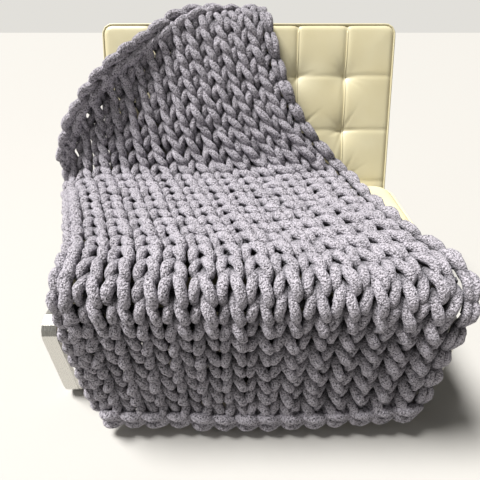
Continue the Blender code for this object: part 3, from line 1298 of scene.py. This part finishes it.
    def outward(self, x: np.ndarray, y: np.ndarray) -> np.ndarray:
        """Unit directions outwards at places on the rounded rim.

        Args:
            x: across.
            y: along.

        Returns:
            n by 2 directions.
        """
        _, low, high = self.flat
        over_x, over_y = self.past_corner(x, y)
        away_x = np.where(over_x > 0, over_x, 0.0) * np.sign(x)
        away_y = np.where(over_y > 0, over_y, 0.0) * np.sign(y - (low + high) / 2)
        norm = np.maximum(np.hypot(away_x, away_y), 1e-9)
        return np.stack([away_x / norm, away_y / norm], -1)

    @staticmethod
    def border(columns: int, rows: int) -> np.ndarray:
        """Grid indices round the border, in order."""
        index = np.arange(columns * rows).reshape(rows, columns)
        return np.concatenate((index[0, :-1], index[:-1, -1], index[-1, :0:-1], index[:0:-1, 0]))

    def section(self) -> list[tuple[float, float]]:
        """Outward and downward steps of the side, from the face's rim to the rear's rim.

        Returns:
            The steps.
        """
        edge, deep = self.edge, self.thick
        turn = np.radians(np.arange(15.0, 91.0, 15.0))
        front = [(edge * math.sin(a), edge * (1 - math.cos(a))) for a in turn]
        belly = 0.004
        shares = (0.2, 0.4, 0.6, 0.8)
        sides = [(edge + belly * math.sin(math.pi * s), edge + (deep - 2 * edge) * s) for s in shares]
        rear = [(out, deep - down) for out, down in reversed(front)]
        return front + sides + rear

    def build(self) -> bpy.types.Object:
        """Make the cushion.

        Returns:
            The piece.
        """
        x, y, columns, rows = self.grid(self.spacing)
        rim = self.border(columns, rows)
        out = self.outward(x[rim], y[rim])
        face = self.relief(x, y)
        layers = [np.stack([x, y, face], -1)]
        for outward, down in self.section():
            sunk = face[rim] * max(1.0 - down / self.edge, 0.0) - down
            ring_x, ring_y = x[rim] + out[:, 0] * outward, y[rim] + out[:, 1] * outward
            layers.append(np.column_stack([ring_x, ring_y, sunk]))
        layers.append(np.stack([x, y, np.full(len(x), -self.thick)], -1))
        local = np.concatenate(layers)
        local[:, 1] += self.lean(local[:, 1], local[:, 2])
        buffer = MeshBuffer()
        quads = self.faces(columns, rows, rim, len(layers) - 2)
        buffer.add(self.place(local[:, 0], local[:, 1], local[:, 2]), *quads)
        piece = buffer.make(self.name, self.material)
        fix_normals(piece)
        return piece

    def lean(self, along: np.ndarray, level: np.ndarray | float) -> np.ndarray:
        """How far places below the face move along, where the cushion's higher end leans.

        Args:
            along: where they are.
            level: their height above the face, mostly below 0.

        Returns:
            The distance that each one moves.
        """
        _, low, high = self.flat
        centre = (low + high) / 2
        return self.slant * level * fade(along, centre, self.high - centre)

    @staticmethod
    def faces(columns: int, rows: int, rim: np.ndarray, rings: int) -> list[np.ndarray]:
        """Quads of the face, the side and the rear.

        Args:
            columns: grid points across.
            rows: grid points along.
            rim: border indices of a grid.
            rings: how many side rings lie between the face and the rear.

        Returns:
            Arrays of quads.
        """
        index = np.arange(columns * rows).reshape(rows, columns)
        grid = np.stack([index[:-1, :-1], index[:-1, 1:], index[1:, 1:], index[1:, :-1]], -1).reshape(-1, 4)
        count = columns * rows
        size = len(rim)
        rear_start = count + rings * size
        side = [count + ring * size + np.arange(size) for ring in range(rings)]
        loops = [rim] + side + [rear_start + rim]
        blocks = [grid, grid[:, ::-1] + rear_start]
        for near, far in zip(loops, loops[1:]):
            blocks.append(np.stack([near, far, np.roll(far, -1), np.roll(near, -1)], -1))
        return blocks

    def piping(self) -> bpy.types.Object:
        """Thin welts round both rims of the cushion and down its long seams.

        Returns:
            The piece.
        """
        x, y, columns, rows = self.grid(0.006)
        rim = self.border(columns, rows)
        x, y = x[rim], y[rim]
        out = self.outward(x, y)
        turn = math.radians(62)
        lift = self.pipe * 0.35
        proud = self.edge * math.sin(turn) + lift
        down = self.edge * (1 - math.cos(turn)) - lift
        along = y + out[:, 1] * proud
        buffer = MeshBuffer()
        for level in (-down, down - self.thick):
            path = self.place(x + out[:, 0] * proud, along + self.lean(along, level), np.full(len(x), level))
            buffer.tube(path, np.full(len(path), self.pipe), 8, closed=True)
        _, low, high = self.flat
        step, beside, raised = 0.005, 0.0018, 0.0004
        for column in self.seam_columns():
            along = np.linspace(low, high, int((high - low) / step))
            x = np.full(len(along), column + beside)
            path = self.place(x, along, self.relief(x, along) + raised)
            buffer.tube(path, np.full(len(path), self.welt), 6)
        return buffer.make(self.name + "_piping", self.material)


def fix_normals(piece: bpy.types.Object) -> None:
    """Turn a closed piece's faces outwards.

    Args:
        piece: the mesh object.
    """
    bpy.ops.object.select_all(action="DESELECT")
    bpy.context.view_layer.objects.active = piece
    piece.select_set(True)
    bpy.ops.object.mode_set(mode="EDIT")
    bpy.ops.mesh.select_all(action="SELECT")
    bpy.ops.mesh.normals_make_consistent(inside=False)
    bpy.ops.object.mode_set(mode="OBJECT")
    piece.select_set(False)


@dataclass
class Upholstery:
    """Both cushions of the chair.

    Args:
        seating: the chair's place.
        leather: their material.
        pitch: between the seams across the back.
    """

    seating: Seating
    leather: bpy.types.Material
    pitch: float = 0.1367

    def build(self) -> None:
        """Make the cushions and their piping, and place them in the frame."""
        low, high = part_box("seat_cushion")
        seat = TuftedCushion(
            "seat_cushion_leather", self.seating.on_seat, width=high.x - low.x, low=0.0,
            high=self.seating.crease - 0.001, thick=high.z - low.z, columns=6, seams=(0.145, 0.290),
            material=self.leather, slant=math.tan(self.seating.recline))
        low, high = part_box("back_cushion")
        back = TuftedCushion(
            "back_cushion_leather", self.seating.on_back, width=high.x - low.x, low=-0.145,
            high=0.402, thick=0.085, columns=6, seams=(0.0, self.pitch, 2 * self.pitch),
            material=self.leather, edge=0.017, corner=0.008)
        for cushion, node in ((seat, "seat_cushion"), (back, "back_cushion")):
            piece = cushion.build()
            piping = cushion.piping()
            for part in (piece, piping):
                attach(part, "root")
                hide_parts(node)
            log.info("%s: %d faces", piece.name, len(piece.data.polygons))


# --------------------------------------------------------------------------- the frame
@dataclass
class ChairFrame:
    """The carried-over bars, boards and panel, with their finishes.

    Args:
        steel: for the bars.
        board: for the seat board.
        leather: for the back panel.
    """

    steel: bpy.types.Material
    board: bpy.types.Material
    leather: bpy.types.Material

    def dress(self) -> None:
        """Give each carried-over node its material."""
        for name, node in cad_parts.items():
            if name.startswith(("side_frame", "back_strut", "cross_bar")):
                self.coat(node, self.steel)
            elif name == "seat_board":
                self.coat(node, self.board)
            elif name == "back_panel":
                self.coat(node, self.leather)

    @staticmethod
    def coat(node: bpy.types.Object, material: bpy.types.Material) -> None:
        """Put one material in all of a node's slots."""
        for slot in node.material_slots:
            slot.material = material
        log.info("%s keeps its shape", node.name)


# --------------------------------------------------------------------------- the room
@dataclass
class Studio:
    """Floor, soft light and the camera.

    Args:
        seating: the chair's place.
        sun_power: of the soft light from above.
        sun_spread: its angle, in degrees.
        sun_way: where it shines.
        window_place: of the weak light from the left.
        window_aim: what it faces.
        window_power: its power.
        window_size: its side.
        sky: brightness of the room as light, and as seen behind the object.
        lens: the camera's, in millimetres.
        camera_offset: from the middle of the seat's front edge.
        camera_down: how far it looks down, in degrees.
    """

    seating: Seating
    sun_power: float = 7.2
    sun_spread: float = 18.0
    sun_way: tuple[float, float, float] = (0.44, -0.095, -1.0)
    window_place: tuple[float, float, float] = (-2.0, -0.9, 1.3)
    window_aim: tuple[float, float, float] = (0.0, 0.0, 0.5)
    window_power: float = 9.0
    window_size: float = 1.2
    sky: tuple[float, float] = (0.17, 0.80)
    lens: float = 28.05
    camera_offset: tuple[float, float, float] = (-0.023, -0.50, 0.463)
    camera_down: float = 35.3

    def floor(self) -> None:
        """A large pale floor."""
        bpy.ops.object.select_all(action="DESELECT")
        bpy.ops.mesh.primitive_plane_add(size=14.0, location=(0.0, 0.0, -0.001))
        floor = bpy.context.object
        floor.name = "floor"
        floor.data.materials.append(Material("floor", Finish.FLOOR).start()[0])

    @staticmethod
    def lamp(name: str, kind: str, power: float, colour: tuple, way: Vector) -> bpy.types.Object:
        """Add a light.

        Args:
            name: of the light.
            kind: SUN or AREA.
            power: its energy.
            colour: linear colour.
            way: where it shines.

        Returns:
            The light's object.
        """
        data = bpy.data.lights.new(name, kind)
        data.energy = power
        data.color = colour
        lamp = bpy.data.objects.new(name, data)
        lamp.rotation_euler = way.to_track_quat("-Z", "Y").to_euler()
        bpy.context.collection.objects.link(lamp)
        return lamp

    def lights(self) -> None:
        """Soft light from above and a little behind, a weak window, and a pale room."""
        sun = self.lamp("skylight", "SUN", self.sun_power, (1.0, 0.985, 0.955), Vector(self.sun_way))
        sun.data.angle = math.radians(self.sun_spread)
        way = Vector(self.window_aim) - Vector(self.window_place)
        window = self.lamp("window", "AREA", self.window_power, (1.0, 0.99, 0.97), way)
        window.location = self.window_place
        window.data.shape = "SQUARE"
        window.data.size = self.window_size
        world = bpy.data.worlds.new("room")
        world.use_nodes = True
        nodes = Nodes(world.node_tree)
        background = world.node_tree.nodes["Background"]
        background.inputs["Color"].default_value = (0.95, 0.93, 0.88, 1.0)
        seen = nodes.add("ShaderNodeLightPath")
        strength = nodes.add("ShaderNodeMapRange", To_Min=self.sky[0], To_Max=self.sky[1])
        nodes.join(seen.outputs["Is Camera Ray"], strength.inputs["Value"])
        nodes.join(strength.outputs["Result"], background.inputs["Strength"])
        bpy.context.scene.world = world

    def camera(self) -> None:
        """A wide view from just in front of the seat, looking down at it."""
        data = bpy.data.cameras.new("camera")
        data.sensor_width = 36.0
        data.lens = self.lens
        camera = bpy.data.objects.new("camera", data)
        edge = Vector((self.seating.middle_x, self.seating.front_y, self.seating.seat_top))
        camera.location = edge + Vector(self.camera_offset)
        camera.rotation_euler = Euler((math.radians(90.0 - self.camera_down), 0.0, 0.0))
        bpy.context.collection.objects.link(camera)
        bpy.context.scene.camera = camera


def main() -> None:
    """Build the whole scene."""
    logging.basicConfig(level=logging.INFO, format="%(message)s")
    bpy.context.scene.view_settings.view_transform = "Standard"
    seating = Seating.from_frame()
    studio = Studio(seating)
    studio.camera()
    leather = LeatherMaterial("ivory_leather", Finish.IVORY_LEATHER).build()
    steel = SteelMaterial("frame_steel", Finish.STEEL).build()
    board = BoardMaterial("board_wood", Finish.BOARD).build()
    yarn = YarnMaterial("knit_yarn", Finish.YARN).build()
    ChairFrame(steel, board, leather).dress()
    Upholstery(seating, leather).build()
    for piece in KnitBlanket(Drape(seating), yarn).build():
        log.info("%s: %d faces", piece.name, len(piece.data.polygons))
    studio.floor()
    studio.lights()


if __name__ == "__main__":
    main()
